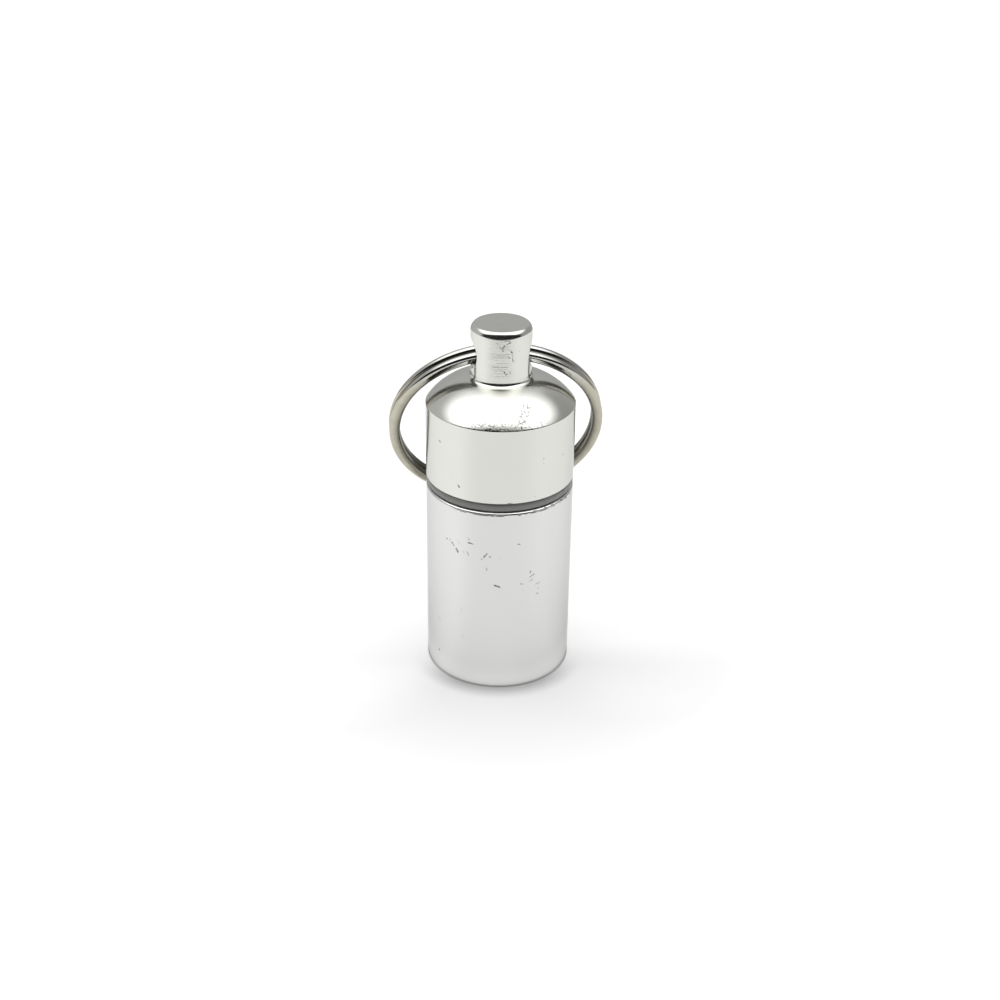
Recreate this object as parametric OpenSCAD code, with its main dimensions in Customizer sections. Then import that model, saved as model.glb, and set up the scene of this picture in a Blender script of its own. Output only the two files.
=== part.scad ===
// Screw-top pill fob for a bunch of keys, in millimetres.
// A drilled aluminium container with a threaded neck carries a rubber seal, a cap turned from
// one piece with a cross-drilled knob, and a split ring that hangs through the knob.
// The turned axis is Z, and the origin is the centre of the base. The knob's hole runs along X,
// and the ring leans back against the container on the +Y side.

/* [Container] */
// Outer diameter of the container and of the cap
body_d = 17; // [15:0.1:21]
// Height of the shoulder that carries the seal
body_h = 23.1; // [16:0.1:45]
// Metal under the pill chamber
floor_t = 2; // [1:0.1:5]
// Wall between the chamber and the root of the thread
neck_wall = 0.9; // [0.5:0.05:1.8]
// Height of the threaded neck above the shoulder
neck_h = 7.2; // [6:0.1:10]
// Rounding of the shoulder's outer edge
rim_round = 0.3; // [0.1:0.05:0.6]
// Rounding of the base's outer edge
base_round = 0.3; // [0.1:0.05:0.8]
// Chamfer at the bottom corner of the chamber
chamber_chamfer = 0.5; // [0.1:0.05:1.2]
// Chamfer at the neck's mouth, inside and outside
mouth_chamfer = 0.3; // [0.1:0.05:0.4]

/* [Thread] */
// Rise of the thread in one turn
thread_pitch = 1.25; // [1.1:0.05:1.6]
// Clearance between the two threads, across the radius and across each flank
thread_clear = 0.1; // [0.08:0.01:0.15]
// Turn over which a thread grows from the wall at each end, in degrees
thread_runout = 60; // [30:5:120]

/* [Seal] */
// Height of the seal ring as the cap squeezes it
seal_h = 1.15; // [0.8:0.05:1.6]
// How far the seal's outside sits in from the container's side
seal_inset = 0.05; // [0.02:0.01:0.4]
// How far the neck's seal seat is smaller in radius than the thread
seat_undercut = 0.2; // [0.1:0.05:0.4]
// Play between the seal and its seat on the neck
seal_play = 0.05; // [0.02:0.01:0.15]

/* [Cap] */
// Wall of the cap at the root of its thread
skirt_wall = 1.4; // [1:0.05:2]
// Space between the top of the neck and the cap's ceiling
head_gap = 0.5; // [0.2:0.05:1.5]
// Metal from the cap's ceiling up to the edge of the dome
roof_t = 2.3; // [1.2:0.1:5]
// Height of the dome, from its edge to the knob
dome_h = 3.05; // [2:0.05:5]
// Radius of the dome's profile
dome_profile_r = 7.5; // [6:0.1:20]
// Chamfer at the mouth of the cap
skirt_chamfer = 0.3; // [0.1:0.05:0.6]

/* [Knob] */
// Diameter of the knob
knob_d = 6.9; // [5.6:0.1:9]
// Metal between the dome and the cross hole
web_under = 1.14; // [0.7:0.02:3]
// Metal over the cross hole
web_over = 1.63; // [0.9:0.01:4]
// Rounding of the knob's top edge
knob_round = 0.94; // [0.5:0.02:1.2]
// How far that rounding reaches in over the knob, to where it meets the flat top at an angle
knob_edge = 0.4; // [0.1:0.02:0.5]
// Fillet between the knob and the dome
knob_fillet = 0.5; // [0.2:0.05:0.9]
// Clearance between the cross hole and the ring's wire as it swings
hole_clear = 0.16; // [0.1:0.01:0.5]

/* [Split ring] */
// Room between the cap's side and the inside of the ring
ring_room = 2.75; // [2:0.05:6]
// Thickness of the wire across the ring's radius
wire_t = 1.25; // [0.9:0.05:1.8]
// Width of one turn of the wire along the ring's axis
turn_w = 0.79; // [0.65:0.01:1.2]
// Gap between the two turns
turn_gap = 0.42; // [0.41:0.01:0.8]
// Rounding of the wire's edges
wire_round = 0.3; // [0.1:0.02:0.3]
// Arc of the ring over which the wire steps from one turn to the next, in degrees
step_arc = 26; // [18:1:50]
// Arc between the step and each end of the wire, in degrees
end_arc = 5; // [2:0.5:6]
// How far the swinging wire's axis hangs below the centre of the cross hole
ring_drop = 0.28; // [0:0.02:0.6]
// How far the swinging wire's axis lies behind the centre of the cross hole
ring_back = 0.25; // [0:0.01:0.6]
// Gap between the leaning ring and the container's back
lean_gap = 0.05; // [0.02:0.01:0.3]

/* [Hidden] */
$fn = 128;

// Overrun of a cutting shape past the face that it opens
cut = 1;
// Depth to which a thread's ridge is sunk into its wall
thread_sink = 0.2;
// Plain neck above the squeezed seal, before the thread starts
seat_margin = 0.35;
// Plain wall left between the end of a thread and the end of its wall
thread_margin = 0.1;
// A 60 degree thread: the slope of each flank away from square to the axis
flank_angle = 30;
// Depth of the thread and width of its crest, as shares of the pitch
thread_depth_share = 0.48;
thread_crest_share = 0.19;
// Points of the helix in one turn
helix_steps = 30;
// Rings of points in one turn of the split ring
ring_steps = 60;
// Segments in each rounded corner of the wire
corner_steps = 3;
// Neighbouring rings of points compared each way when the gap between the turns is measured
gap_reach = 5;

body_r = body_d / 2;
neck_r = body_r - skirt_wall - thread_clear;
thread_depth = thread_depth_share * thread_pitch;
root_r = neck_r - thread_depth;
chamber_r = root_r - neck_wall;
seat_r = neck_r - seat_undercut;
crest_half = thread_crest_share * thread_pitch / 2;
neck_top = body_h + neck_h;
thread_low = body_h + seal_h + seat_margin + crest_half + thread_depth * tan(flank_angle);
thread_end_room = thread_margin + mouth_chamfer + crest_half + thread_depth * tan(flank_angle) / 2;

cap_bottom = body_h + seal_h;
ceiling = neck_top + head_gap;
cap_bore_r = neck_r + thread_clear;
cap_crest_r = root_r + thread_clear;
cap_crest_half = thread_pitch / 2 - thread_clear
    - (crest_half + (neck_r - cap_crest_r) * tan(flank_angle));
dome_low = ceiling + roof_t;
dome_top = dome_low + dome_h;
knob_r = knob_d / 2;

// Centre of the arc that runs from the dome's edge up to the foot of the knob
dome_chord = [knob_r - body_r, dome_h];
dome_chord_half = norm(dome_chord) / 2;
dome_sink = sqrt(pow(dome_profile_r, 2) - pow(dome_chord_half, 2));
dome_centre = [(body_r + knob_r) / 2, (dome_low + dome_top) / 2]
    - dome_sink * [dome_chord[1], -dome_chord[0]] / norm(dome_chord);
// Centre of the fillet that touches both the knob and the dome
fillet_x = knob_r + knob_fillet;
fillet_z = dome_centre[1]
    + sqrt(pow(dome_profile_r + knob_fillet, 2) - pow(fillet_x - dome_centre[0], 2));

ring_w = 2 * turn_w + turn_gap;
ring_r = body_r + ring_room + wire_t;
wire_mid_r = ring_r - wire_t / 2;
// The wire bows up between the ends of the hole, and its swing axis lies halfway up the bow
wire_bow = wire_mid_r - sqrt(pow(wire_mid_r, 2) - pow(knob_r, 2));
ring_reach = wire_mid_r - wire_bow / 2;
wire_sweep_r = wire_round + norm([
    ring_w / 2 - wire_round,
    wire_t / 2 + wire_bow / 2 - wire_round
]);
hole_r = wire_sweep_r + norm([ring_drop, ring_back]) + hole_clear;
hole_z = dome_top + web_under + hole_r;
knob_top = hole_z + hole_r + web_over;
// Height of the knob's top over the centre of the rounding of its edge
knob_rise = sqrt(knob_edge * (2 * knob_round - knob_edge));
pivot_z = hole_z - ring_drop;

// The ring leans until the inside edge of its lowest point meets the container's side
lean_arm = [
    ring_reach + wire_mid_r - (wire_t / 2 - wire_round),
    ring_w / 2 - wire_round
];
function lean(offset) =
    asin((body_r + lean_gap + wire_round - offset) / norm(lean_arm))
    + atan2(lean_arm[1], lean_arm[0]);
ring_lean = lean(ring_back);
ring_swing = 360 - ring_lean - lean(-ring_back);
unscrew_turns = ceil((neck_top - cap_bottom) / thread_pitch);

echo(str("Overall height ", knob_top, " mm, ring diameter ", 2 * ring_r, " mm"));
echo(str("Cap comes off in ", unscrew_turns, " turns and ", unscrew_turns * thread_pitch, " mm"));
echo(str("Cross hole radius ", hole_r, " at height ", hole_z, ", ring axis at ", pivot_z, " mm"));
echo(str("Ring leans ", ring_lean, " degrees and swings over ", ring_swing, " degrees"));
echo(str("Chamber radius ", chamber_r, ", neck radius ", neck_r, ", ceiling at ", ceiling, " mm"));

// A section [radius, height] carried round Z by an angle and raised
function section_at(section, angle, rise) =
    [for (p = section) [p[0] * cos(angle), p[0] * sin(angle), p[1] + rise]];

// One closed solid through a list of sections that have the same number of points
module sweep(rings) {
    sides = len(rings[0]);
    last = (len(rings) - 1) * sides;
    start_cap = [for (j = [1 : sides - 2]) [0, j + 1, j]];
    end_cap = [for (j = [1 : sides - 2]) [last, last + j, last + j + 1]];
    walls = [
        for (i = [0 : len(rings) - 2], j = [0 : sides - 1])
            let (a = i * sides + j, b = i * sides + (j + 1) % sides)
                each [[a, b, b + sides], [a, b + sides, a + sides]]
    ];
    polyhedron(points = [for (ring = rings) each ring], faces = concat(start_cap, walls, end_cap));
}

// Section of a thread's ridge: wall_r lies inside the wall, and grown is its share of full depth
function ridge_section(wall_r, crest_r, half, grown) =
    let (
        tip_r = wall_r + (crest_r - wall_r) * grown,
        wall_half = half + abs(tip_r - wall_r) * tan(flank_angle)
    )
    crest_r > wall_r
        ? [[wall_r, -wall_half], [tip_r, -half], [tip_r, half], [wall_r, wall_half]]
        : [[tip_r, -half], [wall_r, -wall_half], [wall_r, wall_half], [tip_r, half]];

// A right-hand ridge that starts at start_angle and low, and grows and fades at its ends
module thread_ridge(wall_r, crest_r, half, low, high, start_angle) {
    turn = 360 * (high - low) / thread_pitch;
    steps = ceil(turn / 360 * helix_steps);
    buried_share = thread_sink / abs(crest_r - wall_r) / 2;
    sweep([
        for (i = [0 : steps])
            let (
                angle = turn * i / steps,
                grown = min(1, min(angle, turn - angle) / thread_runout)
            )
            section_at(
                ridge_section(wall_r, crest_r, half, max(buried_share, grown)),
                start_angle + angle,
                low + thread_pitch * angle / 360
            )
    ]);
}

// What rounds off an outside corner of a turned profile. The corner stands at a height of rise
// over the rounding's centre, and side is 1 at a top and -1 at a bottom.
module corner_cut(x, z, round_r, rise, side) {
    difference() {
        translate([x - round_r, side > 0 ? z - rise : z - cut])
            square([round_r + cut, rise + cut]);
        translate([x - round_r, z - side * rise]) circle(round_r);
    }
}

module container() {
    color("silver") difference() {
        union() {
            rotate_extrude() difference() {
                square([body_r, body_h]);
                corner_cut(body_r, 0, base_round, base_round, -1);
                corner_cut(body_r, body_h, rim_round, rim_round, 1);
            }
            neck();
        }
        chamber();
    }
}

module neck() {
    thread_high = neck_top - thread_end_room;
    translate([0, 0, body_h - cut]) cylinder(h = cut + seal_h + seat_margin, r = seat_r);
    translate([0, 0, body_h - cut]) cylinder(h = cut + neck_h - mouth_chamfer, r = root_r);
    translate([0, 0, neck_top - mouth_chamfer])
        cylinder(h = mouth_chamfer, r1 = root_r, r2 = root_r - mouth_chamfer);
    thread_ridge(root_r - thread_sink, neck_r, crest_half, thread_low, thread_high, 0);
}

module chamber() {
    translate([0, 0, floor_t])
        cylinder(h = chamber_chamfer, r1 = chamber_r - chamber_chamfer, r2 = chamber_r);
    translate([0, 0, floor_t + chamber_chamfer])
        cylinder(h = neck_top - floor_t - chamber_chamfer + cut, r = chamber_r);
    translate([0, 0, neck_top - mouth_chamfer])
        cylinder(h = mouth_chamfer, r1 = chamber_r, r2 = chamber_r + mouth_chamfer);
}

// The O-ring between the shoulder and the cap, squeezed flat above and below
module seal_ring() {
    inner = seat_r + seal_play;
    outer = body_r - seal_inset;
    bulge = min(seal_h, outer - inner) / 2;
    color("dimgray") translate([0, 0, body_h]) rotate_extrude() {
        translate([inner + bulge, 0]) square([outer - inner - 2 * bulge, seal_h]);
        translate([inner + bulge, seal_h / 2]) circle(bulge);
        translate([outer - bulge, seal_h / 2]) circle(bulge);
    }
}

// Half of the cap's outline, from the skirt's lower edge to the top of the knob
module cap_outline() {
    touch = dome_centre
        + ([fillet_x, fillet_z] - dome_centre) * dome_profile_r / (dome_profile_r + knob_fillet);
    translate([0, cap_bottom]) square([body_r, dome_low - cap_bottom]);
    intersection() {
        translate(dome_centre) circle(dome_profile_r);
        translate([0, dome_low - cut]) square([body_r, dome_h + cut]);
    }
    difference() {
        polygon([[0, dome_low], touch, [fillet_x, fillet_z], [knob_r, fillet_z], [0, fillet_z]]);
        translate([fillet_x, fillet_z]) circle(knob_fillet);
    }
    difference() {
        translate([0, dome_low]) square([knob_r, knob_top - dome_low]);
        corner_cut(knob_r, knob_top, knob_round, knob_rise, 1);
    }
}

module cap() {
    color("gainsboro") {
        difference() {
            rotate_extrude() cap_outline();
            translate([0, 0, cap_bottom - cut])
                cylinder(h = ceiling - cap_bottom + cut, r = cap_bore_r);
            translate([0, 0, cap_bottom])
                cylinder(h = skirt_chamfer, r1 = cap_bore_r + skirt_chamfer, r2 = cap_bore_r);
            translate([0, 0, hole_z]) rotate([0, 90, 0])
                cylinder(h = knob_d + 2 * cut, r = hole_r, center = true);
        }
        thread_ridge(
            cap_bore_r + thread_sink, cap_crest_r, cap_crest_half,
            thread_low, ceiling - thread_end_room, 180
        );
    }
}

// Section of the wire with rounded corners, as [distance from the ring's axis, place along it]
wire_section = [
    for (corner = [0 : 3], k = [0 : corner_steps])
        let (
            side = [corner == 0 || corner == 3 ? 1 : -1, corner < 2 ? 1 : -1],
            angle = 90 * (corner + k / corner_steps)
        )
        [
            wire_mid_r + side[0] * (wire_t / 2 - wire_round) + wire_round * cos(angle),
            side[1] * (turn_w / 2 - wire_round) + wire_round * sin(angle)
        ]
];

// Place of the wire along the ring's axis: level in each turn, with one smooth step between
function wire_rise(angle) =
    let (passed = min(1, max(0, (angle - 360) / step_arc + 1 / 2)))
    (turn_w + turn_gap) * (3 * pow(passed, 2) - 2 * pow(passed, 3) - 1 / 2);

wire_start = step_arc / 2 + end_arc;
wire_turns = (720 - 2 * wire_start) / 360;
wire_rings = [
    let (steps = ceil(wire_turns * ring_steps))
    for (i = [0 : steps])
        let (angle = wire_start + 360 * wire_turns * i / steps)
        section_at(wire_section, angle - 90, wire_rise(angle))
];

// Least distance between the points of the first turn and those of the second, near each ring
function least_gap(rings) = min([
    for (i = [0 : len(rings) - 1], k = [ring_steps - gap_reach : ring_steps + gap_reach])
        if (i + k < len(rings))
            min([for (p = rings[i], q = rings[i + k]) norm(p - q)])
]);
echo(str("Least gap between the turns of the split ring ", least_gap(wire_rings), " mm"));

// The ring hangs by its wire from the cross hole, with the step at its lowest point
module split_ring() {
    color([0.76, 0.75, 0.69])
        translate([0, ring_back, pivot_z]) rotate([90 + ring_lean, 0, 0])
            translate([0, -ring_reach, 0]) sweep(wire_rings);
}

container();
seal_ring();
cap();
split_ring();
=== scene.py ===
"""Looks of the screw-top pill fob: smooth turned aluminium, the rubber seal and the split ring.

Sizes are in millimetres in the CAD frame, and make() turns them into metres. The four pieces
stand for the four CAD nodes and have their sizes, with finer meshes. Only the ring's two turns
are wider than in the CAD, with less room between them, and a few edges are rounded finely.
"""
import math

import bmesh
import bpy
import numpy as np
from mathutils import Matrix, Vector


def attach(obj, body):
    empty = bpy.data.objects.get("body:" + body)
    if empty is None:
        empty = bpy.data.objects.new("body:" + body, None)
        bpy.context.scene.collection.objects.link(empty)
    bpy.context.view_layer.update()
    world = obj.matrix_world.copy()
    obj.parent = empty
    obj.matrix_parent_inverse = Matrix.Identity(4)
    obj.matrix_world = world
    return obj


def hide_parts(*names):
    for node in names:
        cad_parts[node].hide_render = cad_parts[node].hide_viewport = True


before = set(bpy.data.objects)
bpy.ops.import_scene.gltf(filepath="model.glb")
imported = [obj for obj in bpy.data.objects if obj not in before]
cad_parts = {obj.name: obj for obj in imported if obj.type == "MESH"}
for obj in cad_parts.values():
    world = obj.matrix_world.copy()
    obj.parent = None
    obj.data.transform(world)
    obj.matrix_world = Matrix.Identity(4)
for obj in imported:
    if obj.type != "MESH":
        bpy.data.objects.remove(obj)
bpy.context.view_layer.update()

MM = 0.001
MICRON = 0.000001
TINY = 1e-6
LEAST = 0.001  # Divisors stay above it
WHITE = (1, 1, 1, 1)
COLUMNS = 192
TURN = 2 * math.pi
ARC_STEP = math.radians(9)

# Sizes of the CAD model
BODY_R, BODY_H, SEAL_H = 8.5, 23.1, 1.15
SEAL_PLAY, SEAL_INSET, RIM_ROUND = 0.05, 0.05, 0.3
SEAT_R, SEAT_TOP = 6.8, 24.6
ROOT_R, NECK_R, NECK_TOP = 6.4, 7.0, 30.3
CHAMBER_R, CHAMBER_FLOOR, CHAMBER_CHAMFER = 5.5, 2.0, 0.5
MOUTH_CHAMFER = 0.3
CAP_BOTTOM, CAP_BORE_R, CAP_CREST_R, CEILING = 24.25, 7.1, 6.5, 30.8
SKIRT_CHAMFER = 0.3
PITCH, CREST_HALF, CAP_CREST_HALF = 1.25, 0.11875, 0.11757
THREAD_LOW, THREAD_FADE = 25.0652, math.radians(60)
NECK_THREAD_HIGH, CAP_THREAD_HIGH = 29.608, 30.108
THREAD_SINK = 0.2
FLANK = math.tan(math.radians(30))
DOME_LOW, DOME_TOP, DOME_PROFILE_R = 33.1, 36.15, 7.5
KNOB_R, KNOB_TOP, KNOB_FLAT_R, KNOB_ROUND, KNOB_FILLET = 3.45, 42.41027, 3.05, 0.94, 0.5
HOLE_R, HOLE_Z = 1.74514, 39.0351
RING_R, WIRE_T, STEP_ARC, END_ARC = 12.5, 1.25, 26.0, 5.0
RING_PIVOT, RING_LEAN, RING_REACH = (0, 0.25, 38.7551), math.radians(23.509), 11.6189

# Sizes that only the scene has: the ring's turns, fine edges and the rows of the threads
TURN_W, TURN_GAP, WIRE_ROUND = 0.98, 0.04, 0.44
BASE_ROUND, DOME_EDGE_ROUND, HOLE_EDGE = 0.14, 0.2, 0.14
THREAD_ROW = 0.045


# Profiles and meshes


def rounded(corners, support=0.03):
    """Points of a turned profile from its corners (radius, height, rounding).

    Each rounding becomes an arc, with a support point before and after it that keeps the flats
    flat under smooth shading."""
    points = []
    for i, (r, z, rounding) in enumerate(corners):
        here = np.array((r, z), float)
        if rounding == 0:
            points.append(here)
            continue
        back = np.array(corners[i - 1][:2]) - here
        ahead = np.array(corners[(i + 1) % len(corners)][:2]) - here
        back_length, ahead_length = np.linalg.norm(back), np.linalg.norm(ahead)
        back, ahead = back / back_length, ahead / ahead_length
        half = math.acos(np.clip(back @ ahead, -1, 1)) / 2
        tangent = rounding / math.tan(half)
        middle = back + ahead
        centre = here + middle / np.linalg.norm(middle) * rounding / math.sin(half)
        start, end = here + back * tangent - centre, here + ahead * tangent - centre
        sweep = math.pi - 2 * half
        steps = max(3, round(sweep / ARC_STEP))
        if tangent + support < back_length:
            points.append(here + back * (tangent + support))
        for k in range(steps + 1):
            a = sweep * k / steps
            arc = (start * math.sin(sweep - a) + end * math.sin(a)) / math.sin(sweep)
            points.append(centre + arc)
        if tangent + support < ahead_length:
            points.append(here + ahead * (tangent + support))
    return points


def along(low, high, step):
    """Heights from low to high, both left out, about a step apart."""
    count = max(1, round(abs(high - low) / step))
    return [low + (high - low) * k / count for k in range(1, count)]


def thread_height(angle, z, wall, crest, half, high, start):
    """Radius of a threaded wall at each angle of one row, as the CAD sweeps its ridge."""
    turns = (high - THREAD_LOW) / PITCH * TURN
    side = math.copysign(1, crest - wall)
    sunk = wall - side * THREAD_SINK
    best = np.full(len(angle), wall * side)
    first_lap, last_lap = -1, 5
    for lap in range(first_lap, last_lap + 1):
        passed = (angle - start) % TURN + lap * TURN
        inside = (passed >= 0) & (passed <= turns)
        grown = np.clip(np.minimum(passed, turns - passed) / THREAD_FADE, 0, 1)
        off = np.abs(z - THREAD_LOW - PITCH * passed / TURN)
        tip = side * (sunk + (crest - sunk) * grown)
        ridge = tip - np.maximum(0, off - half) / FLANK
        best = np.where(inside, np.maximum(best, ridge), best)
    return best * side


def lathe(profile, wall=None, closed=False):
    """Grid of a profile turned round Z, as vertices and a table of vertex numbers by row.

    wall(angle, radius, height) may change the radius round a row."""
    angle = np.arange(COLUMNS) * TURN / COLUMNS
    verts, rows = [], []
    for r, z in profile:
        if r < TINY:
            rows.append([len(verts)] * COLUMNS)
            verts.append((0, 0, z))
            continue
        radius = wall(angle, r, z) if wall else np.full(COLUMNS, r)
        rows.append(list(range(len(verts), len(verts) + COLUMNS)))
        verts.extend(zip(radius * np.cos(angle), radius * np.sin(angle), [z] * COLUMNS))
    if closed:
        rows.append(rows[0])
    return verts, rows


def grid_faces(rows, skip=None):
    """Faces between the rows of a lathe, leaving out the cells that skip names."""
    faces = []
    for i in range(len(rows) - 1):
        for j in range(COLUMNS):
            if skip and skip(i, j):
                continue
            n = (j + 1) % COLUMNS
            corners = [rows[i][j], rows[i][n], rows[i + 1][n], rows[i + 1][j]]
            kept = [v for k, v in enumerate(corners) if v not in corners[:k]]
            faces.append(kept)
    return faces


def make(name, verts, faces, material, body, node, painted_shades=None):
    """A smooth closed piece that rides on a body and stands for a CAD node."""
    mesh = bpy.data.meshes.new(name)
    mesh.from_pydata([Vector(v) * MM for v in verts], [], faces)
    bm = bmesh.new()
    bm.from_mesh(mesh)
    loose = [v for v in bm.verts if not v.link_faces]
    bmesh.ops.delete(bm, geom=loose, context="VERTS")
    bmesh.ops.recalc_face_normals(bm, faces=bm.faces)
    for face in bm.faces:
        face.smooth = True
    open_edges = sum(not e.is_manifold for e in bm.edges)
    bm.to_mesh(mesh)
    bm.free()
    print(name, len(mesh.vertices), "vertices,", open_edges, "open edges")
    # Painted shade of each vertex, which the ring's material reads
    if painted_shades:
        mesh.attributes.new("painted_shade", "FLOAT", "POINT").data.foreach_set("value", painted_shades)
    piece = bpy.data.objects.new(name, mesh)
    bpy.context.scene.collection.objects.link(piece)
    mesh.materials.append(material)
    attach(piece, body)
    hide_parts(node)


# Materials


class Nodes:
    """Short calls that add shader nodes to one tree."""

    def __init__(self, tree):
        self.tree = tree

    def add(self, kind, inputs=(), **settings):
        node = self.tree.nodes.new("ShaderNode" + kind)
        for key, value in settings.items():
            setattr(node, key, value)
        for key, value in dict(inputs).items():
            self.put(node.inputs[key], value)
        return node

    def put(self, socket, value):
        if isinstance(value, bpy.types.NodeSocket):
            self.tree.links.new(value, socket)
        else:
            socket.default_value = value

    def math(self, operation, *values):
        node = self.add("Math", operation=operation)
        for socket, value in zip(node.inputs, values):
            self.put(socket, value)
        return node.outputs[0]

    def vec(self, operation, *values, scale=None):
        """Vector maths; the result is a number for a dot product or a length."""
        node = self.add("VectorMath", operation=operation)
        for socket, value in zip(node.inputs, values):
            self.put(socket, value)
        if scale is not None:
            self.put(node.inputs["Scale"], scale)
        return node.outputs["Value" if operation in ("DOT_PRODUCT", "LENGTH") else "Vector"]

    def ramp(self, value, low, high, to_low=0.0, to_high=1.0):
        """Smooth step of a value from one range to another."""
        return self.add(
            "MapRange",
            {"Value": value, "From Min": low, "From Max": high,
             "To Min": to_low, "To Max": to_high},
            interpolation_type="SMOOTHSTEP",
        ).outputs["Result"]

    def mix(self, share, low, high):
        """Low where share is 0 and high where it is 1."""
        node = self.add("Mix", {"Factor": share}, data_type="FLOAT")
        self.put(node.inputs["A"], low)
        self.put(node.inputs["B"], high)
        return node.outputs["Result"]

    def blend(self, share, low, high):
        """The same for colours, each of them a socket or three numbers."""
        node = self.add("Mix", {"Factor": share}, data_type="RGBA")
        for key, color in (("A", low), ("B", high)):
            linked = isinstance(color, bpy.types.NodeSocket)
            self.put(node.inputs[key], color if linked else (*color, 1))
        return node.outputs["Result"]

    def times(self, first, *others):
        """Product of two or more values."""
        for other in others:
            first = self.math("MULTIPLY", first, other)
        return first

    def hypot(self, x, y):
        return self.math("SQRT", self.math("ADD", self.times(x, x), self.times(y, y)))

    def split(self, vector):
        """The three numbers of a vector."""
        return self.add("SeparateXYZ", {"Vector": vector}).outputs

    def vector(self, x, y, z):
        return self.add("CombineXYZ", {"X": x, "Y": y, "Z": z}).outputs[0]

    def noise(self, vector, scale, detail=2.0, roughness=0.5):
        return self.add(
            "TexNoise",
            {"Vector": vector, "Scale": scale, "Detail": detail, "Roughness": roughness},
        ).outputs["Fac"]

    def bump(self, height, strength, distance, normal=None):
        inputs = {"Height": height, "Strength": strength, "Distance": distance}
        if normal:
            inputs["Normal"] = normal
        return self.add("Bump", inputs).outputs["Normal"]


def new_material(name):
    material = bpy.data.materials.new(name)
    material.use_nodes = True
    tree = material.node_tree
    return material, Nodes(tree), tree.nodes["Principled BSDF"]


# Nicks and scratches as (angle, height, angle, height, half width, strength), with the angles in
# degrees round Z, on the container, the skirt and the knob
BODY_MARKS = [
    (-140.1, 18.58, -140.1, 18.58, 0.09, 1.0), (-137.4, 18.47, -136.4, 18.73, 0.06, 0.4),
    (-134.9, 18.39, -132.9, 18.09, 0.07, 0.7), (-130.5, 17.73, -129.3, 17.47, 0.12, 1.0),
    (-130.0, 18.92, -127.2, 18.66, 0.05, 0.3), (-120.7, 19.57, -118.6, 19.38, 0.06, 0.4),
    (-119.9, 19.02, -116.2, 18.95, 0.06, 0.85), (-124.6, 17.87, -123.7, 17.52, 0.05, 0.35),
    (-120.7, 17.76, -119.8, 17.34, 0.07, 0.6), (-133.9, 16.52, -133.9, 16.52, 0.08, 0.3),
    (-107.4, 17.48, -105.5, 17.90, 0.09, 0.8), (-103.1, 17.61, -102.4, 17.56, 0.08, 0.6),
    (-109.7, 17.18, -108.9, 17.19, 0.06, 0.5), (-95.2, 17.54, -94.8, 17.47, 0.08, 0.3),
    (-81.5, 19.15, -79.9, 19.12, 0.06, 0.6), (-106.1, 16.08, -105.0, 15.83, 0.07, 0.5),
    (-99.1, 13.93, -95.2, 13.68, 0.08, 1.0), (-70.8, 15.29, -70.8, 15.23, 0.1, 0.8),
    (-71.5, 14.59, -67.2, 14.90, 0.06, 0.5), (-71.5, 14.06, -68.9, 14.23, 0.06, 0.45),
    (-78.9, 13.88, -77.2, 13.84, 0.06, 0.5), (-65.7, 13.44, -62.0, 13.54, 0.06, 0.45),
    (-65.0, 12.15, -63.6, 12.15, 0.08, 0.6), (-63.7, 12.96, -63.7, 12.69, 0.06, 0.25),
    (-150.1, 7.55, -149.4, 7.04, 0.06, 0.35), (-150.5, 2.91, -150.5, 2.86, 0.09, 1.0),
    (-124.5, 6.66, -125.4, 6.06, 0.06, 0.2), (-125.9, 10.0, -126.8, 9.55, 0.06, 0.25),
    (-79.2, 3.72, -79.2, 3.58, 0.06, 0.2),
    (-40.6, 23.00, -39.4, 22.93, 0.09, 0.9), (-34.3, 22.87, -32.9, 22.84, 0.1, 1.0),
    (-26.0, 22.86, -24.4, 22.80, 0.08, 0.9), (-58.8, 22.98, -57.6, 22.95, 0.07, 0.8),
    (-51.7, 23.00, -50.5, 22.96, 0.07, 0.8), (-68.8, 23.00, -67.0, 22.97, 0.06, 0.7),
]
SKIRT_MARKS = [
    (-148.9, 30.41, -147.0, 30.39, 0.08, 0.7), (-129.0, 25.87, -127.7, 25.74, 0.1, 1.0),
    (-134.6, 26.98, -134.6, 26.91, 0.08, 0.3), (-61.6, 29.25, -61.6, 29.19, 0.08, 0.45),
    (-61.9, 28.66, -61.9, 28.62, 0.07, 0.5), (-40.8, 28.79, -40.5, 28.71, 0.08, 0.5),
    (-149.1, 28.68, -149.1, 28.62, 0.06, 0.25), (-146.6, 27.90, -146.6, 27.83, 0.06, 0.25),
    (-69.0, 24.89, -68.5, 24.84, 0.06, 0.35), (-89.7, 24.38, -86.7, 24.35, 0.05, 0.8),
]
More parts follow.
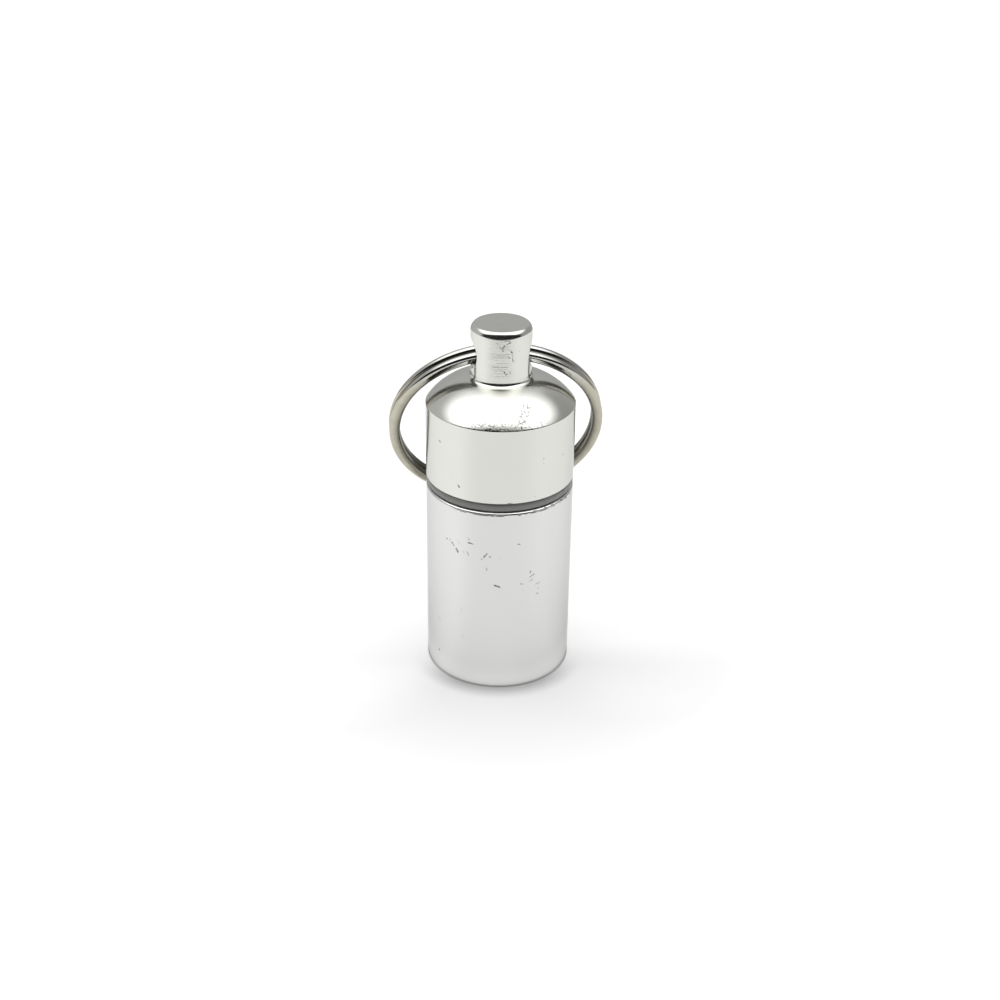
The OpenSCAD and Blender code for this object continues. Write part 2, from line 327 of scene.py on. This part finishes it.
KNOB_MARKS = [
    (-90.6, 41.59, -81.5, 41.59, 0.04, 0.35), (-80.9, 41.56, -79.4, 41.38, 0.05, 0.5),
    (-79.9, 41.32, -86.0, 41.18, 0.05, 0.45), (-89.6, 41.01, -94.1, 40.73, 0.05, 0.85),
    (-94.4, 40.61, -92.2, 40.43, 0.05, 0.5), (-78.4, 40.32, -76.0, 40.19, 0.06, 0.9),
    (-75.8, 40.13, -75.1, 39.48, 0.04, 0.4), (-75.0, 39.42, -74.2, 39.12, 0.05, 0.7),
    (-82.9, 39.71, -80.4, 39.58, 0.05, 0.45), (-98.5, 40.92, -96.9, 40.71, 0.04, 0.4),
    (-90.2, 37.91, -89.8, 37.89, 0.06, 0.85), (-88.0, 37.67, -84.5, 37.73, 0.05, 0.5),
    (-80.5, 37.84, -77.7, 37.80, 0.04, 0.35), (-112.9, 38.49, -83.5, 38.50, 0.03, 0.25),
    (-105.5, 38.95, -83.6, 38.95, 0.03, 0.15), (-103.9, 39.95, -93.0, 39.97, 0.03, 0.18),
    (-105.3, 37.48, -92.5, 37.50, 0.03, 0.18), (-62.2, 40.28, -61.5, 40.22, 0.06, 0.3),
    (-105.9, 41.34, -100.5, 41.24, 0.04, 0.25),
]


def segment_mask(n, place, start, end, width, strength):
    """Strength on a segment, which fades out at its half width; place is in millimetres."""
    start, span = Vector(start), Vector(end) - Vector(start)
    offset = n.vec("SUBTRACT", place, start)
    if span.length > 0:
        share = n.vec("DOT_PRODUCT", offset, span / span.length_squared)
        share = n.math("MINIMUM", n.math("MAXIMUM", share, 0.0), 1.0)
        offset = n.vec("SUBTRACT", offset, n.vec("SCALE", tuple(span), scale=share))
    outer, inner = 1.6 * width, 0.5 * width
    return n.ramp(n.vec("LENGTH", offset), outer, inner, to_high=strength)


def front_mask(n, x, y, left, left_full, right_full, right):
    """Fades in between the first two angles round Z and out between the last two, in degrees."""
    angle = n.math("ARCTAN2", y, x)
    return n.times(n.ramp(angle, math.radians(left), math.radians(left_full)),
                   n.ramp(angle, math.radians(right), math.radians(right_full)))


def wall_marks(n, place, radius, marks):
    """Mask of the marks on a turned wall, from the place in millimetres."""
    wander, skin = 0.24, 0.3
    x, y, z = n.split(place)
    wall = n.vector(n.times(n.math("ARCTAN2", y, x), radius), z, 0.0)
    wobble = n.add("TexNoise", {"Vector": place, "Scale": 3.0, "Detail": 3.0}).outputs["Color"]
    wobble = n.vec("SCALE", n.vec("SUBTRACT", wobble, (0.5, 0.5, 0.5)), scale=wander)
    wall = n.vec("MULTIPLY", n.vec("ADD", wall, wobble), (1.0, 1.0, 0.0))
    total = 0.0
    for angle_a, z_a, angle_b, z_b, width, strength in marks:
        start = (math.radians(angle_a) * radius, z_a, 0)
        end = (math.radians(angle_b) * radius, z_b, 0)
        total = n.math("MAXIMUM", total, segment_mask(n, wall, start, end, width, strength))
    off = n.math("ABSOLUTE", n.math("SUBTRACT", n.hypot(x, y), radius))
    broken = n.ramp(n.noise(place, scale=9.0), 0.38, 0.56, to_low=0.5)
    return n.times(total, broken, n.math("LESS_THAN", off, skin))


def painted_rim_line(n, place):
    """Painted dark reflection: an uneven dark line where the container's shoulder rounds off, in
    front.
    """
    darkest = 0.8
    x, y, z = n.split(place)
    line = n.times(n.ramp(z, BODY_H - 0.38, BODY_H - 0.3), n.ramp(z, BODY_H - 0.12, BODY_H - 0.22))
    broken = n.ramp(n.noise(place, scale=1.3, detail=3.0, roughness=0.7), 0.44, 0.56)
    front = front_mask(n, x, y, left=-150, left_full=-115, right_full=-60, right=-15)
    return n.times(line, broken, front, darkest)


def dome_pits(n, place):
    """Small pits along the dome's front edge, and a streak of them up its front."""
    x, y, z = n.split(place)
    on_dome = n.ramp(z, DOME_LOW - 0.05, DOME_LOW + 0.05)
    front = front_mask(n, x, y, left=-126, left_full=-112, right_full=-68, right=-52)
    edge = n.times(on_dome, n.ramp(z, DOME_LOW + 1.2, DOME_LOW + 0.2, to_high=0.75), front)
    streak_top, streak_foot = (2.09, -6.35, 34.88), (1.36, -8.19, 33.36)
    streak = segment_mask(n, place, streak_top, streak_foot, width=0.55, strength=0.9)
    pits = n.ramp(n.noise(place, scale=3.6, detail=4.0, roughness=0.65), 0.49, 0.58)
    return n.times(pits, n.math("MAXIMUM", edge, n.times(streak, on_dome)))


def knob_lines(n, place):
    """Fine level lines on the middle of the knob's front."""
    x, y, z = n.split(place)
    front = front_mask(n, x, y, left=-132, left_full=-112, right_full=-84, right=-62)
    squeezed = n.vec("MULTIPLY", place, (0.35, 0.35, 6.0))
    lines = n.ramp(n.noise(squeezed, scale=1.0, roughness=0.6), 0.42, 0.7, to_high=0.13)
    return n.times(lines, front, n.ramp(z, 36.9, 37.5), n.ramp(z, 42.0, 40.0))


def container_wear_and_painted_line(n, place):
    # Nicks and scratches, with the painted dark reflection line of the shoulder
    marks = n.math("MAXIMUM", wall_marks(n, place, BODY_R, BODY_MARKS), painted_rim_line(n, place))
    return marks, marks


def cap_wear(n, place):
    """The dome's pits are shallower than the other marks."""
    shallow = 0.2
    walls = n.math("MAXIMUM", wall_marks(n, place, BODY_R, SKIRT_MARKS),
                   wall_marks(n, place, KNOB_R, KNOB_MARKS))
    walls = n.math("MAXIMUM", knob_lines(n, place), walls)
    pits = dome_pits(n, place)
    return n.math("MAXIMUM", pits, walls), n.math("MAXIMUM", n.times(pits, shallow), walls)


def make_metal(shader):
    """Metal that reflects a little less at its silhouette than it would by default."""
    shader.inputs["Metallic"].default_value = 1.0
    shader.inputs["Specular Tint"].default_value = (0.75, 0.75, 0.75, 1)


def aluminium(name, color, wear_and_painted_line):
    """Bright turned aluminium with fine rings round Z.

    The function given third gives two masks from (n, place): how dark and how deep its marks are,
    the container's painted dark reflection line among them."""
    mark_tone, foot_roughness, across_scale = 0.22, 0.13, 0.03
    material, n, shader = new_material(name)
    place = n.vec("SCALE", n.add("TexCoord").outputs["Object"], scale=1000.0)
    x, y, z = n.split(place)
    radius = n.hypot(x, y)
    marks, depth = wear_and_painted_line(n, place)
    # The marks darken the colour, and on the container so does its painted dark reflection line
    n.put(shader.inputs["Base Color"], n.blend(marks, color, [mark_tone * c for c in color]))
    make_metal(shader)
    # The dome is duller in front of the knob's foot, where a polishing wheel doesn't reach. The
    # ranges are in millimetres, of radius, height and depth
    foot = n.times(n.ramp(radius, 6.2, 5.0), n.ramp(radius, 4.0, 4.3),
                   n.ramp(z, 33.4, 34.2), n.ramp(y, -1.6, -3.2))
    blotches = n.noise(place, scale=0.26, detail=3.0)
    polished = n.ramp(blotches, 0.3, 0.7, to_low=0.13, to_high=0.19)
    n.put(shader.inputs["Roughness"], n.math("ADD", polished, n.times(foot, foot_roughness)))
    # Height less radius changes along every turned face, so the rings follow flats and walls
    ring_place = n.vector(n.times(x, across_scale), n.times(y, across_scale),
                          n.math("SUBTRACT", z, radius))
    rings = n.noise(ring_place, scale=9.0, detail=3.0, roughness=0.6)
    turned = n.bump(rings, strength=0.08, distance=20 * MICRON)
    unmarked = n.math("SUBTRACT", 1.0, depth)
    dented = n.bump(unmarked, strength=1.0, distance=30 * MICRON, normal=turned)
    n.put(shader.inputs["Normal"], dented)
    return material


def rubber():
    """Smooth grey rubber with a fine speckle."""
    material, n, shader = new_material("seal_rubber")
    speckle = n.noise(n.add("TexCoord").outputs["Object"], scale=4000.0)
    shader.inputs["Base Color"].default_value = (0.26, 0.26, 0.25, 1)
    n.put(shader.inputs["Roughness"], n.ramp(speckle, 0.3, 0.7, to_low=0.42, to_high=0.56))
    n.put(shader.inputs["Normal"], n.bump(speckle, strength=0.2, distance=20 * MICRON))
    return material


def nickel():
    """Nickel plate, yellower and darker below the knob, with painted shade on the wire's inner
    side and in the groove between its turns.
    """
    bright, yellow = (0.6, 0.6, 0.58), (0.53, 0.505, 0.415)
    # The second colour here is the colour of the painted shade
    spots, dark = (0.4, 0.39, 0.31), (0.04, 0.04, 0.036)
    material, n, shader = new_material("ring_nickel")
    place = n.add("TexCoord").outputs["Object"]
    height = n.split(place)[2]
    all_bright, all_yellow = 37.5 * MM, 33 * MM
    plate = n.blend(n.ramp(height, all_bright, all_yellow), bright, yellow)
    spotted = n.ramp(n.noise(place, scale=1100.0, detail=4.0), 0.35, 0.65, to_high=0.3)
    plate = n.blend(spotted, plate, spots)
    # Painted shade: the plate colour darkens where the piece's shade value is low
    painted_shade = n.add("Attribute", attribute_name="painted_shade").outputs["Fac"]
    n.put(shader.inputs["Base Color"], n.blend(painted_shade, dark, plate))
    make_metal(shader)
    grain = n.noise(place, scale=1500.0, detail=3.0)
    n.put(shader.inputs["Roughness"], n.ramp(grain, 0.3, 0.7, to_low=0.06, to_high=0.12))
    n.put(shader.inputs["Normal"], n.bump(grain, strength=0.06, distance=30 * MICRON))
    return material


# The four pieces


def build_container(material):
    """Wall, shoulder, threaded neck and pill chamber, from the middle of the base round."""
    neck_edge = ROOT_R - MOUTH_CHAMFER
    profile = rounded([
        (0, 0, 0),
        (BODY_R, 0, BASE_ROUND),
        (BODY_R, BODY_H, RIM_ROUND),
        (SEAT_R, BODY_H, 0.08),
        (SEAT_R, SEAT_TOP, 0.06),
        (ROOT_R, SEAT_TOP, 0.06),
    ])
    profile += [(ROOT_R, z) for z in along(SEAT_TOP, NECK_TOP - MOUTH_CHAMFER, THREAD_ROW)]
    profile += rounded([
        (ROOT_R, NECK_TOP - 2 * MOUTH_CHAMFER, 0),
        (ROOT_R, NECK_TOP - MOUTH_CHAMFER, 0.05),
        (neck_edge, NECK_TOP, 0.05),
        (CHAMBER_R + MOUTH_CHAMFER, NECK_TOP, 0.05),
        (CHAMBER_R, NECK_TOP - MOUTH_CHAMFER, 0.05),
        (CHAMBER_R, CHAMBER_FLOOR + CHAMBER_CHAMFER, 0.1),
        (CHAMBER_R - CHAMBER_CHAMFER, CHAMBER_FLOOR, 0.1),
        (0, CHAMBER_FLOOR, 0),
    ])[1:]

    def wall(angle, r, z):
        if abs(r - ROOT_R) > TINY or not SEAT_TOP < z < NECK_TOP:
            return np.full(len(angle), r)
        return thread_height(angle, z, ROOT_R, NECK_R, CREST_HALF, NECK_THREAD_HIGH, 0)

    verts, rows = lathe(profile, wall)
    make("container_shell", verts, grid_faces(rows), material,
         "container_body", "container")


def build_seal(material):
    """The O-ring as the closed cap squeezes it, with round inner and outer edges."""
    inner, outer = SEAT_R + SEAL_PLAY, BODY_R - SEAL_INSET
    bulge = SEAL_H / 2
    steps = 16
    profile = []
    for centre, start in ((outer - bulge, -90), (inner + bulge, 90)):
        for k in range(steps + 1):
            a = math.radians(start + 180 * k / steps)
            profile.append((centre + bulge * math.cos(a), BODY_H + bulge + bulge * math.sin(a)))
    verts, rows = lathe(profile, closed=True)
    make("seal", verts, grid_faces(rows), material, "seal_body", "seal_ring")


def cap_outline():
    """Outer profile of the cap from the dome's edge to the knob, with the rows for its hole."""
    chord = np.array((KNOB_R - BODY_R, DOME_TOP - DOME_LOW))
    length = np.linalg.norm(chord)
    sink = math.sqrt(DOME_PROFILE_R ** 2 - (length / 2) ** 2)
    centre = np.array(((BODY_R + KNOB_R) / 2, (DOME_LOW + DOME_TOP) / 2))
    centre = centre - sink * np.array((chord[1], -chord[0])) / length
    fillet_x = KNOB_R + KNOB_FILLET
    reach = DOME_PROFILE_R + KNOB_FILLET
    fillet = np.array((fillet_x, centre[1] + math.sqrt(reach ** 2 - (fillet_x - centre[0]) ** 2)))
    touch = centre + (fillet - centre) * DOME_PROFILE_R / reach
    start = math.atan2(DOME_LOW - centre[1], BODY_R - centre[0])
    end = math.atan2(touch[1] - centre[1], touch[0] - centre[0])
    dome_steps, bend_rows = 48, 11
    dome = [
        tuple(centre + DOME_PROFILE_R * np.array((math.cos(a), math.sin(a))))
        for a in np.linspace(start, end, dome_steps + 1)
    ]
    first = math.atan2(touch[1] - fillet[1], touch[0] - fillet[0])
    if first > 0:
        first -= TURN
    bend = [
        tuple(fillet + KNOB_FILLET * np.array((math.cos(a), math.sin(a))))
        for a in np.linspace(first, -math.pi, bend_rows)
    ]
    return dome, bend[1:], fillet[1]


def knob_edge(low):
    """The knob's top edge: an arc that runs into the side and meets the flat top at an angle."""
    across = KNOB_FLAT_R - (KNOB_R - KNOB_ROUND)
    drop = math.sqrt(KNOB_ROUND ** 2 - across ** 2)
    centre = np.array((KNOB_R - KNOB_ROUND, KNOB_TOP - drop))
    arc_rows = 12
    points = [(KNOB_R, z) for z in (low + 0.1, centre[1] - 0.04)]
    for a in np.linspace(0, math.atan2(drop, across), arc_rows):
        points.append(tuple(centre + KNOB_ROUND * np.array((math.cos(a), math.sin(a)))))
    flat_rows = (KNOB_FLAT_R - 0.015, KNOB_FLAT_R - 0.06, 2.0, 1.0, 0.24)
    return points + [(r, KNOB_TOP) for r in flat_rows]


def build_cap(material):
    """Threaded bore, skirt, dome, and knob with its cross hole, from the bore's ceiling round."""
    skirt_edge = CAP_BORE_R + SKIRT_CHAMFER
    plain, margin = 0.35, 0.4
    bore_high, bore_low = CEILING - margin, CAP_BOTTOM + margin
    profile = rounded([(0, CEILING, 0), (CAP_BORE_R, CEILING, 0.12), (CAP_BORE_R, bore_high, 0)])
    profile += [(CAP_BORE_R, z) for z in along(bore_high, bore_low, THREAD_ROW)]
    dome, bend, knob_low = cap_outline()
    profile += rounded([
        (CAP_BORE_R, bore_low, 0),
        (CAP_BORE_R, CAP_BOTTOM + SKIRT_CHAMFER, 0.04),
        (skirt_edge, CAP_BOTTOM, 0.06),
        (BODY_R, CAP_BOTTOM, 0.1),
        (BODY_R, DOME_LOW, DOME_EDGE_ROUND),
        dome[1] + (0,),
    ])[1:]
    profile += dome[2:] + bend
    window = 2.1
    low, high = HOLE_Z - window, HOLE_Z + window
    profile.append((KNOB_R, (knob_low + low) / 2))
    first = len(profile)
    side_rows = 40
    profile += [(KNOB_R, low + (high - low) * k / side_rows) for k in range(side_rows + 1)]
    profile += knob_edge(high)
    # Radius and depth of the dimple that the lathe left in the middle of the knob's top
    dimple = ((0.17, 0.012), (0.1, 0.03), (0, 0.035))
    profile += [(r, KNOB_TOP - depth) for r, depth in dimple]

    def wall(angle, r, z):
        if abs(r - CAP_BORE_R) > TINY or not CAP_BOTTOM + plain < z < CEILING - plain:
            return np.full(len(angle), r)
        return thread_height(angle, z, CAP_BORE_R, CAP_CREST_R, CAP_CREST_HALF,
                             CAP_THREAD_HIGH, math.pi)

    verts, rows = lathe(profile, wall)
    half_columns = side_rows // 2
    last = first + side_rows

    def in_window(i, j):
        beside = min(j % (COLUMNS // 2), COLUMNS // 2 - 1 - j % (COLUMNS // 2))
        return first <= i < last and beside < half_columns

    faces = grid_faces(rows, in_window)
    rims = [hole_side(verts, faces, rows, first, last, half_columns, c)
            for c in (0, COLUMNS // 2)]
    join_tube(verts, faces, *rims)
    make("cap_shell", verts, faces, material, "cap_body", "cap")


def hole_side(verts, faces, rows, first, last, half, centre):
    """Fills the square window round one mouth of the cross hole, and returns its inner rim."""
    across, up = range(-half, half), range(first, last)
    loop = [rows[first][(centre + c) % COLUMNS] for c in across]
    loop += [rows[i][(centre + half) % COLUMNS] for i in up]
    loop += [rows[last][(centre - c) % COLUMNS] for c in across]
    loop += [rows[first + last - i][(centre - half) % COLUMNS] for i in up]
    middle = TURN * centre / COLUMNS
    side = math.cos(middle)
    count = len(loop)
    corner = math.radians(-135)
    phi = [corner + TURN * k / count for k in range(count)]

    def on_knob(y_local, z, depth=0.0):
        x = math.sqrt(KNOB_R ** 2 - y_local ** 2) - depth
        return (side * x, side * y_local, z)

    mouth = HOLE_R + HOLE_EDGE
    rim = [(mouth * math.cos(p), HOLE_Z + mouth * math.sin(p)) for p in phi]
    start = []
    for v in loop:
        a = math.atan2(verts[v][1] * side, verts[v][0] * side)
        start.append((a, verts[v][2]))
    # Shares of the way from the window to the mouth, and turns of the mouth's rounding
    shares, roundings = (0.14, 0.28, 0.42, 0.56, 0.7, 0.82, 0.91, 0.97, 1.0), (30, 60, 90)
    previous = loop
    for t in shares:
        layer = []
        for k in range(count):
            a = start[k][0] * (1 - t) + math.asin(rim[k][0] / KNOB_R) * t
            z = start[k][1] * (1 - t) + rim[k][1] * t
            layer.append(on_knob(KNOB_R * math.sin(a), z))
        previous = add_ring(verts, faces, previous, layer)
    for turn in roundings:
        turn = math.radians(turn)
        radius = HOLE_R + HOLE_EDGE * (1 - math.sin(turn))
        depth = HOLE_EDGE * (1 - math.cos(turn))
        layer = [on_knob(radius * math.cos(p), HOLE_Z + radius * math.sin(p), depth) for p in phi]
        previous = add_ring(verts, faces, previous, layer)
    return previous


def add_ring(verts, faces, previous, layer):
    """Joins a new closed ring of points to the ring before it, and returns its numbers."""
    numbers = list(range(len(verts), len(verts) + len(layer)))
    verts.extend(layer)
    bridge(faces, previous, numbers)
    return numbers


def bridge(faces, one, other):
    """Faces between two closed rings of as many vertices."""
    for k in range(len(one)):
        n = (k + 1) % len(one)
        faces.append([one[k], one[n], other[n], other[k]])


def join_tube(verts, faces, right, left):
    """Bore of the cross hole, between the rims of its two mouths."""
    count = len(right)
    matched = [left[(count // 4 - k) % count] for k in range(count)]
    previous = right
    steps = 20
    for i in range(1, steps):
        t = i / steps
        layer = []
        for a, b in zip(right, matched):
            va, vb = np.array(verts[a]), np.array(verts[b])
            layer.append(tuple(va * (1 - t) + vb * t))
        previous = add_ring(verts, faces, previous, layer)
    bridge(faces, previous, matched)


def wire_section():
    """Outline of the wire as (across, up, shade value), with support points that keep its faces
    flat.

    Across points away from the ring's axis. The shade value falls towards the inside: painted
    shade that darkens the wire's inner half and inner side."""
    corner_steps, support = 8, 0.02
    flat, high = WIRE_T / 2 - WIRE_ROUND, TURN_W / 2 - WIRE_ROUND
    points = []
    for corner in range(4):
        sx = 1 if corner in (0, 3) else -1
        sy = 1 if corner < 2 else -1
        arc = [math.radians(90 * (corner + k / corner_steps)) for k in range(corner_steps + 1)]
        line = [
            (sx * flat + WIRE_ROUND * math.cos(a), sy * high + WIRE_ROUND * math.sin(a))
            for a in arc
        ]
        before = (math.sin(arc[0]) * support, -math.cos(arc[0]) * support)
        after = (-math.sin(arc[-1]) * support, math.cos(arc[-1]) * support)
        points.append((line[0][0] + before[0], line[0][1] + before[1]))
        points += line
        points.append((line[-1][0] + after[0], line[-1][1] + after[1]))
    # Painted shade: shares of the wire's depth from its outer edge, and the share of the plate
    # colour left there
    depths, painted_shade_levels = (0.0, 0.42, 0.5, 0.78, 0.87, 1.0), (1, 1, 0.74, 0.64, 0.26, 0.24)
    return [
        (across, up, float(np.interp(0.5 - across / WIRE_T, depths, painted_shade_levels)))
        for across, up in points
    ]


def build_ring(material):
    """Flattened spring wire wound in two turns, with one step between them at the lowest point."""
    middle = RING_R - WIRE_T / 2

    def rise(angle):
        passed = min(1.0, max(0.0, (angle - 360) / STEP_ARC + 0.5))
        return (TURN_W + TURN_GAP) * (3 * passed ** 2 - 2 * passed ** 3 - 0.5)

    start = STEP_ARC / 2 + END_ARC
    total = 720 - 2 * start
    steps = 342
    stations = [(start + total * i / steps, 1.0) for i in range(steps + 1)]
    taper = [(0.0, 0.8), (0.15, 0.93), (0.4, 1.0)]
    head = [(start + off, scale) for off, scale in taper]
    tail = [(start + total - off, scale) for off, scale in reversed(taper)]
    stations = head + stations[1:-1] + tail
    lean = Matrix.Rotation(math.pi / 2 + RING_LEAN, 4, "X")
    place = Matrix.Translation(RING_PIVOT) @ lean @ Matrix.Translation((0, -RING_REACH, 0))
    groove, painted_groove_shades = (0.55, 0.85), (1, 0.2)
    section = wire_section()
    verts, faces, rings, painted_shades = [], [], [], []
    for angle, scale in stations:
        a = math.radians(angle - 90)
        rings.append(list(range(len(verts), len(verts) + len(section))))
        side = rise(angle) / (TURN_W + TURN_GAP) * 2
        for across, up, painted_shade in section:
            r, z = middle + across * scale, up * scale + rise(angle)
            verts.append(tuple(place @ Vector((r * math.cos(a), r * math.sin(a), z))))
            # Painted shade: darker in the groove between the two turns
            inside = -side * up / (TURN_W / 2)
            painted_shades.append(painted_shade * float(np.interp(inside, groove, painted_groove_shades)))
    for one, other in zip(rings, rings[1:]):
        bridge(faces, one, other)
    faces += [rings[0], rings[-1]]
    make("split_ring_wire", verts, faces, material, "ring_body", "split_ring",
         painted_shades)


# Camera and studio


TABLE = 0.84

# Fit of the photograph's view, with the camera's target to the right of and above the base
CAMERA_YAW = math.radians(6.23)
CAMERA_PITCH = math.radians(27.38)
CAMERA_ROLL = math.radians(0.754)
SINE, COSINE = math.sin(CAMERA_YAW), math.cos(CAMERA_YAW)
TARGET_RIGHT, TARGET_HEIGHT, CAMERA_DISTANCE = 0.075, 20.424, 176.78
SENSOR, FOCAL_SHARE = 36.0, 1514.86 / 1000


def build_camera():
    """The photograph's view, from a fit of the object's outlines."""
    away, right = Vector((SINE, COSINE, 0)), Vector((COSINE, -SINE, 0))
    look = away * math.cos(CAMERA_PITCH) - Vector((0, 0, math.sin(CAMERA_PITCH)))
    up = right.cross(look)
    rolled = right * math.cos(CAMERA_ROLL) + up * math.sin(CAMERA_ROLL)
    rolled_up = up * math.cos(CAMERA_ROLL) - right * math.sin(CAMERA_ROLL)
    target = right * TARGET_RIGHT + Vector((0, 0, TARGET_HEIGHT))
    data = bpy.data.cameras.new("camera")
    data.sensor_fit = "HORIZONTAL"
    data.sensor_width = SENSOR
    data.lens = SENSOR * FOCAL_SHARE
    data.clip_start = 0.005
    data.clip_end = 20.0
    camera = bpy.data.objects.new("camera", data)
    bpy.context.scene.collection.objects.link(camera)
    axes = Matrix((rolled, rolled_up, -look)).transposed().to_4x4()
    camera.matrix_world = Matrix.Translation((target - look * CAMERA_DISTANCE) * MM) @ axes
    bpy.context.scene.camera = camera


def floor_material():
    """White table, with painted shade and painted light round the container's base.

    Its distances are in metres from the middle of the base."""
    material = bpy.data.materials.new("floor")
    material.use_nodes = True
    tree = material.node_tree
    tree.nodes.clear()
    n = Nodes(tree)
    paths = n.add("LightPath").outputs
    place = n.add("TexCoord").outputs["Object"]
    distance = n.vec("LENGTH", place)
    apart = n.math("MAXIMUM", distance, LEAST)
    toward = n.vec("DOT_PRODUCT", place, (-SINE, -COSINE, 0.0))
    ahead = n.math("DIVIDE", toward, apart)
    aside = n.math("DIVIDE", n.vec("DOT_PRODUCT", place, (COSINE, -SINE, 0.0)), apart)
    # Painted shadow: the table is darker where it meets the base in front, for the camera only. A
    # painted dark line round the base shows only in the metal's reflections
    painted_contact_shadow = n.times(n.ramp(distance, 0.0112, 0.0084), n.ramp(toward, 0.001, 0.008, to_high=0.4),
                      paths["Is Camera Ray"])
    painted_dark_seam = n.times(n.ramp(distance, 0.009, 0.0087, to_high=0.36), paths["Is Glossy Ray"])
    color = n.blend(n.math("MAXIMUM", painted_contact_shadow, painted_dark_seam), (TABLE, TABLE, TABLE), (0, 0, 0))
    # Painted light: emission lights the table up beside and behind the base, and away from it
    beside = n.times(n.ramp(ahead, 0.95, 0.4), n.ramp(aside, -1.0, 1.0, to_low=0.14, to_high=0.07))
    behind = n.times(n.ramp(toward, 0.004, -0.003), n.ramp(distance, 0.03, 0.011, to_low=0.3),
                     n.ramp(aside, -1.0, 1.0, to_low=0.065, to_high=0.13))
    away = n.ramp(distance, 0.014, 0.035, to_high=0.11)
    seen = n.math("ADD", n.math("MAXIMUM", beside, away), behind)
    # Painted reflection: the metal mirrors the painted light beside the base and a painted lighter
    # band just outside the dark line round the base
    painted_light_band = n.times(n.ramp(distance, 0.013, 0.0096, to_high=0.11),
                    n.ramp(distance, 0.0088, 0.0094))
    painted_reflection_light = n.math("ADD", beside, painted_light_band)
    # The camera sees the painted light on the table, and the metal's reflections see the painted
    # reflection light
    painted_emission = n.math("ADD", n.times(seen, paths["Is Camera Ray"]),
                  n.times(painted_reflection_light, paths["Is Glossy Ray"]))
    total = n.add("AddShader")
    n.put(total.inputs[0], n.add("BsdfDiffuse", {"Color": color}).outputs[0])
    n.put(total.inputs[1], n.add("Emission", {"Color": WHITE, "Strength": painted_emission}).outputs[0])
    n.put(n.add("OutputMaterial").inputs["Surface"], total.outputs[0])
    return material


def build_floor():
    """White table top, which ends on the camera's side just short of the camera."""
    near, far, side = 0.13, 0.14, 0.4
    corners = [(-side, -near, 0), (side, -near, 0), (side, far, 0), (-side, far, 0)]
    turn = Matrix.Rotation(-CAMERA_YAW, 4, "Z")
    mesh = bpy.data.meshes.new("floor")
    mesh.from_pydata([turn @ Vector(c) for c in corners], [], [(0, 1, 2, 3)])
    mesh.materials.append(floor_material())
    floor = bpy.data.objects.new("floor", mesh)
    bpy.context.scene.collection.objects.link(floor)


def build_world():
    """A soft white panel overhead, a grey room, and a dark side towards the camera.

    The dome mirrors the panel as its broad highlight. The camera itself sees white past the
    table."""
    panel, room, room_right, dark = 2.2, 0.55, 0.36, 0.02
    world = bpy.data.worlds.new("studio")
    world.use_nodes = True
    tree = world.node_tree
    tree.nodes.clear()
    n = Nodes(tree)
    x, y, z = n.split(n.add("TexCoord").outputs["Generated"])
    right = n.math("SUBTRACT", n.times(x, COSINE), n.times(y, SINE))
    away = n.math("ADD", n.times(x, SINE), n.times(y, COSINE))
    up = n.math("MAXIMUM", z, LEAST)
    across, along_view = n.math("DIVIDE", right, up), n.math("DIVIDE", away, up)
    # Each edge of the panel fades between two distances, as shares of the panel's height
    mask = n.times(n.ramp(z, 0.0, 0.05),
                   n.ramp(along_view, -0.86, -0.5), n.ramp(along_view, 1.12, 0.0),
                   n.ramp(across, -2.2, -0.8), n.ramp(across, 2.2, 0.7))
    flat = n.math("SQRT", n.math("SUBTRACT", 1.0001, n.times(z, z)))
    facing = n.ramp(n.math("DIVIDE", away, flat), -0.1, -0.38)
    level = n.ramp(n.math("DIVIDE", right, flat), 0.2, 0.9, to_low=room, to_high=room_right)
    level = n.mix(facing, level, dark)
    strength = n.mix(mask, level, panel)
    strength = n.math("MAXIMUM", strength, n.add("LightPath").outputs["Is Camera Ray"])
    background = n.add("Background", {"Color": WHITE, "Strength": strength})
    n.put(n.add("OutputWorld").inputs["Surface"], background.outputs[0])
    bpy.context.scene.world = world


build_container(aluminium("container_aluminium", (0.72, 0.72, 0.71), container_wear_and_painted_line))
build_seal(rubber())
build_cap(aluminium("cap_aluminium", (0.72, 0.72, 0.68), cap_wear))
build_ring(nickel())
build_camera()
build_floor()
build_world()
bpy.context.scene.view_settings.view_transform = "Standard"
